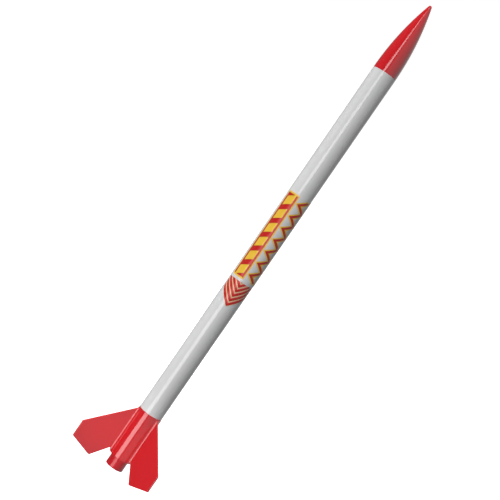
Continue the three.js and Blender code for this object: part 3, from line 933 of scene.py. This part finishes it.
def joined(base, others):
    """The exact union of closed meshes, as a new bmesh; the sources are deleted."""
    for other in others:
        modifier = base.modifiers.new("join", "BOOLEAN")
        modifier.operation = "UNION"
        modifier.solver = "EXACT"
        modifier.object = other
    evaluated = base.evaluated_get(bpy.context.evaluated_depsgraph_get())
    mesh = bmesh.new()
    mesh.from_mesh(evaluated.to_mesh())
    evaluated.to_mesh_clear()
    for used in (base, *others):
        bpy.data.objects.remove(used)
    return mesh


def make_fin_unit(red):
    bottom, top = CAN_ENDS
    sleeve = rounded([
        (RING_BORE, bottom), (CAN_R, bottom), (CAN_R, top), (CAN_PLUG_R, top), (CAN_PLUG_R, CAN_PLUG_TOP),
        (CAN_PLUG_BORE, CAN_PLUG_TOP), (CAN_PLUG_BORE, top - CAN_STEP[1]), (CAN_BORE, top - CAN_STEP[0]),
        (CAN_BORE, bottom + CAN_FLOOR), (RING_BORE, bottom + CAN_FLOOR),
    ], CAN_EDGE)
    base = solid_of("sleeve", lathe(sleeve, FINE_ROUND))
    fins = [solid_of(f"fin_{i}", fin_mesh(azimuth)) for i, azimuth in enumerate(FIN_AZIMUTHS)]
    mesh = joined(base, fins)
    bmesh.ops.dissolve_degenerate(mesh, edges=mesh.edges, dist=1e-7)
    piece("fin_unit_moulding", mesh, "airframe", red, ["fin_unit"], smooth=32)


# ---- tubes, rings, lug and stickers


def make_tubes(looks):
    def fixed(name, mesh, look, node):
        piece(name, mesh, "airframe", looks[look], [node])

    white = ring(TUBE_BORE, TUBE_R, *TUBE_ENDS, edge=0.12, sides=FINE_ROUND)
    fixed("body_tube_wall", white, "white", "body_tube")
    fixed("motor_tube_wall", ring(*MOTOR_TUBE, 0.14), "red_tube", "motor_tube")
    fixed("aft_centring_ring_card", ring(*AFT_RING, RING_EDGE), "card", "aft_centring_ring")
    fixed("forward_centring_ring_card", notched_ring(), "card", "forward_centring_ring")
    fixed("thrust_ring_card", ring(*THRUST_RING, 0.25), "card", "thrust_ring")


def notched_ring():
    """The forward ring, with the notch at -X that the shock cord passes through."""
    half = asin(NOTCH_HALF / NOTCH_RING_R)
    deep = NOTCH_RING_R - NOTCH_DEPTH
    start, sweep = pi + half, 2 * pi - 2 * half
    notch = [(-deep, NOTCH_HALF - 2 * NOTCH_HALF * k / NOTCH_STEPS) for k in range(NOTCH_STEPS + 1)]
    outer = arc(NOTCH_RING_R, start, sweep, 150) + notch
    inner = arc(RING_BORE, start, sweep, 150) + arc(RING_BORE, pi - half, 2 * half, NOTCH_STEPS)
    bottom, top = NOTCH_RING_ENDS
    mesh = bmesh.new()

    def level(outline, factor, z):
        points = [Vector(place) * factor for place in outline]
        return [mesh.verts.new((point.x * MM, point.y * MM, z * MM)) for point in points]

    levels = []
    for z, inset in ((bottom, RING_EDGE), (bottom + RING_EDGE, 0), (top - RING_EDGE, 0), (top, RING_EDGE)):
        levels.append((level(outer, 1 - inset / NOTCH_RING_R, z), level(inner, 1 + inset / RING_BORE, z)))
    return holed(mesh, levels)


def lug_centre():
    azimuth = radians(LUG_AZIMUTH)
    return LUG_DISTANCE * MM * cos(azimuth), LUG_DISTANCE * MM * sin(azimuth)


def make_lug(straw, glue):
    """A paper straw glued along the tube, with a bead of glue down each side."""
    azimuth = radians(LUG_AZIMUTH)
    mesh = ring(*LUG, edge=0.08, sides=64)
    bmesh.ops.translate(mesh, verts=mesh.verts, vec=(*lug_centre(), 0))
    piece("launch_lug_straw", mesh, "airframe", straw, ["launch_lug"])
    bead = bmesh.new()
    steps, inset = 40, 1
    for side in (-1, 1):
        route = []
        for k in range(steps + 1):
            z = LUG[2] + inset + (LUG[3] - LUG[2] - 2 * inset) * k / steps
            wave = BEAD_WAVE * sin(k * 1.9 + side)
            turn = azimuth + side * (BEAD_ASIDE + wave) / TUBE_R
            route.append(Vector((cos(turn) * BEAD_DISTANCE, sin(turn) * BEAD_DISTANCE, z)) * MM)
        strand(route, circle(BEAD_R, 12), mesh=bead)
    piece("lug_glue", bead, "airframe", glue)


def panel(name, azimuths, top, low_edge, material, node):
    """A thin closed film on the tube; low_edge gives the lower height at each azimuth in degrees."""
    mesh = bmesh.new()
    layers = []
    for radius in FILM_R:
        columns = []
        for k in range(FILM_COLUMNS + 1):
            degrees = azimuths[0] + (azimuths[1] - azimuths[0]) * k / FILM_COLUMNS
            a = radians(degrees)
            low = low_edge(degrees)
            x, y = radius * MM * cos(a), radius * MM * sin(a)
            heights = [low + (top - low) * r / FILM_ROWS for r in range(FILM_ROWS + 1)]
            columns.append([mesh.verts.new((x, y, z * MM)) for z in heights])
        loft(mesh, columns, closed=False)
        layers.append(columns)
    inner, outer = layers
    for end in (0, -1):
        bridge(mesh, inner[end], outer[end], closed=False)
        bridge(mesh, [column[end] for column in inner], [column[end] for column in outer], closed=False)
    piece(name, mesh, "airframe", material, [node])


def make_stickers():
    panel("sticker_band_film", BAND_ARC, BAND_Z[1], lambda degrees: BAND_Z[0], band_look(), "sticker_band")
    point, shoulders, top = ARROW_Z
    half = ARROW_HALF / TUBE_R * 180 / pi

    def low_edge(degrees):
        return point + (shoulders - point) * abs(degrees - ARROW_AZIMUTH) / half

    arc_ends = (ARROW_AZIMUTH - half, ARROW_AZIMUTH + half)
    panel("sticker_arrow_film", arc_ends, top, low_edge, arrow_look(), "sticker_arrow")


# ---- motor


def make_motor(looks):
    def motor_piece(name, mesh, look, node):
        piece(name, mesh, "motor", looks[look], [node])

    bottom = CASING[2]
    motor_piece("motor_casing_tube", ring(*CASING, 0.2), "kraft", "motor_casing")
    nozzle = rounded([
        (EXIT_R, bottom), (FILLING_R, bottom), (FILLING_R, NOZZLE_TOP), (THROAT_R, NOZZLE_TOP),
        (THROAT_R, NOZZLE_CONE_TOP),
    ], CLAY_EDGE, 3)
    motor_piece("motor_nozzle_clay", lathe(nozzle), "clay", "motor_nozzle")
    grain = rounded([
        (0, GRAIN_CORE_TOP), (THROAT_R, GRAIN_BOTTOM), (FILLING_R, GRAIN_BOTTOM), (FILLING_R, GRAIN_TOP),
        (0, GRAIN_TOP),
    ], CLAY_EDGE, 3, keep=(0, 4))
    motor_piece("propellant_pressed", lathe(grain), "powder", "propellant_grain")
    for name, look, node, low, high, edge in LAYERS:
        motor_piece(name, drum(FILLING_R, low, high, edge), look, node)
    motor_piece("friction_tape_wrap", ring(*TAPE, 0.05), "tape", "friction_tape")


# ---- recovery


def make_shock_cord(elastic):
    """One flat elastic from under the forward ring to the nose's eye."""
    straight = [(-CORD_R, 0, z) for z in CORD_STRAIGHT]
    bend = [(x, 0, z) for x, z in CORD_TURN_IN]
    route = [p * MM for p in curve_through(straight + bend, 16)]
    band = piece("shock_cord_band", strand(route, flat_oval(*CORD_SECTION)), None, elastic,
                 ["shock_cord"])
    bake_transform(band)
    knot("shock_cord_low_knot", Vector((-CORD_R, 0, 74.2)), (0.85, 1.9, 1.3), "airframe", elastic,
         "shock_cord")
    knot("shock_cord_nose_knot", Vector((3.3, 0, EYE_Z)), (1.2, 2.1, 1.8), "nose", elastic,
         "shock_cord")


def knot(name, centre, size, body, material, node):
    """An overhand knot's lump: a short trefoil of the same stuff, squashed to size."""
    points = []
    steps = 72
    for k in range(steps):
        t = 2 * pi * k / steps
        points.append(Vector((
            centre.x + size[0] * KNOT_REACH * (sin(t) + 2 * sin(2 * t)) / 3,
            centre.y + size[1] * KNOT_WIDE * (cos(t) - 2 * cos(2 * t)) / 3,
            centre.z - size[2] * KNOT_REACH * sin(3 * t),
        )) * MM)
    section = circle(KNOT_STRAND * min(size), 12)
    piece(name, strand(points, section, closed=True), body, material, [node])


def roll_point(t, share):
    """A point of the rolled canopy: t runs along the winding, share up its height."""
    angle = 2 * pi * ROLL_TURNS * t
    core, rim = ROLL_R
    radius = core + (rim - core) * t ** ROLL_PACKING
    pleat = 0.5 + 0.5 * cos(2 * pi * ROLL_PLEATS * t)
    low = ROLL_Z[0] + ROLL_LOW_RISE * (1 - pleat) * t
    high = ROLL_Z[1] - ROLL_TOP_GAP - ROLL_PLEAT_DROP * pleat * t - ROLL_DROP * t
    height = low + (high - low) * share
    lobes = sum(depth * cos(count * angle + height * twist) for count, twist, depth in ROLL_LOBES)
    pinch = sum(depth * exp(-((height - z) / wide) ** 2) for z, wide, depth in ROLL_PINCHES)
    radius *= 1 + lobes * ROLL_SOFTEN - pinch
    return Vector((radius * cos(angle), radius * sin(angle), height)) * MM


def make_canopy(film):
    mesh = bmesh.new()
    count = ROLL_TURNS * ROLL_STEPS
    columns = []
    for k in range(count + 1):
        points = [roll_point(k / count, r / ROLL_ROWS) for r in range(ROLL_ROWS + 1)]
        columns.append([mesh.verts.new(point) for point in points])
    loft(mesh, columns, closed=False)
    canopy = piece("parachute_canopy_roll", mesh, "parachute", film, ["parachute_canopy"], 80)
    thickness = canopy.modifiers.new("thickness", "SOLIDIFY")
    thickness.thickness = FILM_THICK * MM
    thickness.offset = 0


def lines_centre(t):
    """The route of the lines' bundle, in millimetres: wound round the roll, then up to the eye."""
    low, high = LINES_RISE
    winding = min(t / LINES_WOUND, 1)
    lead = max((t - LINES_WOUND) / (1 - LINES_WOUND), 0)
    ease = lead * lead * (3 - 2 * lead)
    angle = 2 * pi * (LINES_TURNS * winding + LEAD_TURNS * lead)
    radius = LINES_R + (LEAD_R - LINES_R) * ease
    height = low + (high - low) * winding + (LINES_KNOT_Z - high) * lead
    return Vector((radius * cos(angle), radius * sin(angle), height))


def make_lines(thread):
    """Six thin lines laid round one another along the bundle's route, and the loop through the eye."""
    def thread_piece(name, mesh):
        piece(name, mesh, "parachute", thread, ["shroud_lines"])

    for index in range(LINE_COUNT):
        points = []
        for k in range(LINE_STEPS + 1):
            t = k / LINE_STEPS
            here = lines_centre(t)
            ahead = (lines_centre(min(t + 1e-3, 1)) - lines_centre(max(t - 1e-3, 0))).normalized()
            outwards = Vector((here.x, here.y, 0)).normalized()
            sideways = ahead.cross(outwards).normalized()
            twist = 2 * pi * (index / LINE_COUNT + LINE_TWISTS * t)
            offset = LINE_OFFSET * (outwards * cos(twist) + sideways * sin(twist))
            points.append((here + offset) * MM)
        thread_piece(f"shroud_line_{index + 1}", strand(points, circle(LINE_R, 8)))
    loop = []
    foot, top = LOOP_Z
    for k in range(LOOP_STEPS):
        t = 2 * pi * k / LOOP_STEPS
        lift = 0.5 + 0.5 * cos(t)
        x, y = LOOP_HALF * sin(t), LOOP_BEND * sin(2 * t)
        loop.append(Vector((x, y, foot + (top - foot) * lift)) * MM)
    thread_piece("shroud_line_loop", strand(loop, circle(LINE_R, 10), closed=True))
    middle = (lines_centre(1) + Vector((0, 0, foot))) / 2
    knot("shroud_line_knot", middle, (1.5, 1.5, 1.1), "parachute", thread, "shroud_lines")


def make_wadding(tissue):
    """A loosely crumpled handful of tissue."""
    mesh = bmesh.new()
    bmesh.ops.create_icosphere(mesh, subdivisions=6, radius=1)
    for vertex in mesh.verts:
        place = vertex.co.copy()
        across = hypot(place.x, place.y)
        squared = min(1.0, across * WAD_SQUARE) / max(across, 1e-6)
        crease = 0.0
        for scale, depth in WAD_CREASES:
            crease += depth * abs(noise.noise(place * scale + Vector(WAD_NOISE_AT))) * 2
        shrink = 1.0 - min(crease, WAD_DEEPEST)
        tall = 1 - WAD_END_SHRINK + WAD_END_SHRINK * shrink
        vertex.co = Vector((place.x * squared * WAD_R * shrink, place.y * squared * WAD_R * shrink,
                            WAD_Z + place.z * WAD_HALF * tall)) * MM
    wad = piece("recovery_wadding_wad", mesh, "wadding", tissue, ["recovery_wadding"], 70)


# ---- stage and assembly


def make_floor():
    """A level floor that curves up into a wall all round, far from the rocket."""
    quarter = [pi / 2 * k / 12 for k in range(13)]
    cove = [(FLOOR_R + COVE_R * sin(a), COVE_R * (1 - cos(a))) for a in quarter]
    outline = [(0, 0), (FLOOR_R / 2, 0), *cove, (FLOOR_R + COVE_R, WALL_TOP)]
    mesh = bmesh.new()
    points = [mesh.verts.new((x, 0, FLOOR_Z + z)) for x, z in outline]
    edges = [mesh.edges.new(pair) for pair in zip(points, points[1:])]
    bmesh.ops.spin(mesh, geom=points + edges, cent=(0, 0, 0), axis=(0, 0, 1), angle=2 * pi,
                   steps=96)
    bmesh.ops.remove_doubles(mesh, verts=mesh.verts, dist=1e-5)
    bmesh.ops.recalc_face_normals(mesh, faces=mesh.faces)
    middle = min(mesh.faces, key=lambda face: face.calc_center_median().length)
    if middle.normal.z < 0:
        bmesh.ops.reverse_faces(mesh, faces=mesh.faces)
    for face in mesh.faces:
        face.smooth = True
    floor = scenery("floor", mesh, floor_look())
    floor.visible_diffuse = False
    floor.visible_glossy = False
    floor.visible_shadow = False


def main():
    make_camera()
    make_lights()
    make_world()
    make_floor()
    bpy.context.scene.view_settings.view_transform = "Standard"
    kraft = wound_paper_look("kraft paper", (0.40, 0.26, 0.13), (0.56, 0.40, 0.22), 30.0)
    straw = wound_paper_look("lug paper", (0.76, 0.74, 0.69), (0.88, 0.87, 0.83), 14.0, 0.6, lug_centre())
    looks = {
        "white": white_tube_look(),
        "red": red_plastic_look(),
        "red_tube": red_tube_look(),
        "card": card_look(),
        "kraft": kraft,
        "black": grained_look("black moulded plastic", (1500.0, 4.0), (0.016, 0.016, 0.018),
                              (0.035, 0.035, 0.038), (0.38, 0.55), 0.012, gloss=(300.0,)),
        "clay": grained_look("pressed clay", (2200.0, 8.0), (0.33, 0.30, 0.26), (0.58, 0.54, 0.47),
                             (0.85, 1.0), 0.08, coarse=((500.0,), 0.08)),
        "tissue": grained_look("flameproof tissue", (1200.0, 8.0), (0.62, 0.58, 0.46),
                               (0.80, 0.77, 0.67), (0.88, 1.0), 0.05, tone=(90.0,),
                               coarse=((260.0, 8.0), 0.35), Sheen_Weight=0.2),
        "powder": powder_look(),
        "tape": grained_look("masking tape", (500.0, 3.0, (1, 1, 5)), (0.62, 0.49, 0.26),
                             (0.78, 0.66, 0.42), (0.55, 0.8), 0.08),
        "elastic": elastic_look(),
        "thread": grained_look("cotton thread", (2500.0, 6.0, (1, 1, 3)), (0.66, 0.64, 0.58),
                               (0.93, 0.92, 0.88), (0.85, 1.0), 0.08, Sheen_Weight=0.4),
        "glue": grained_look("dried glue", (500.0, 3.0), (0.78, 0.77, 0.72), (0.86, 0.85, 0.80),
                             (0.25, 0.4), 0.05, Coat_Weight=0.5, Transmission_Weight=0.15),
    }
    make_nose(looks["red"], looks["black"])
    make_fin_unit(looks["red"])
    make_tubes(looks)
    make_lug(straw, looks["glue"])
    make_stickers()
    make_motor(looks)
    make_shock_cord(looks["elastic"])
    make_canopy(film_look())
    make_lines(looks["thread"])
    make_wadding(looks["tissue"])


main()
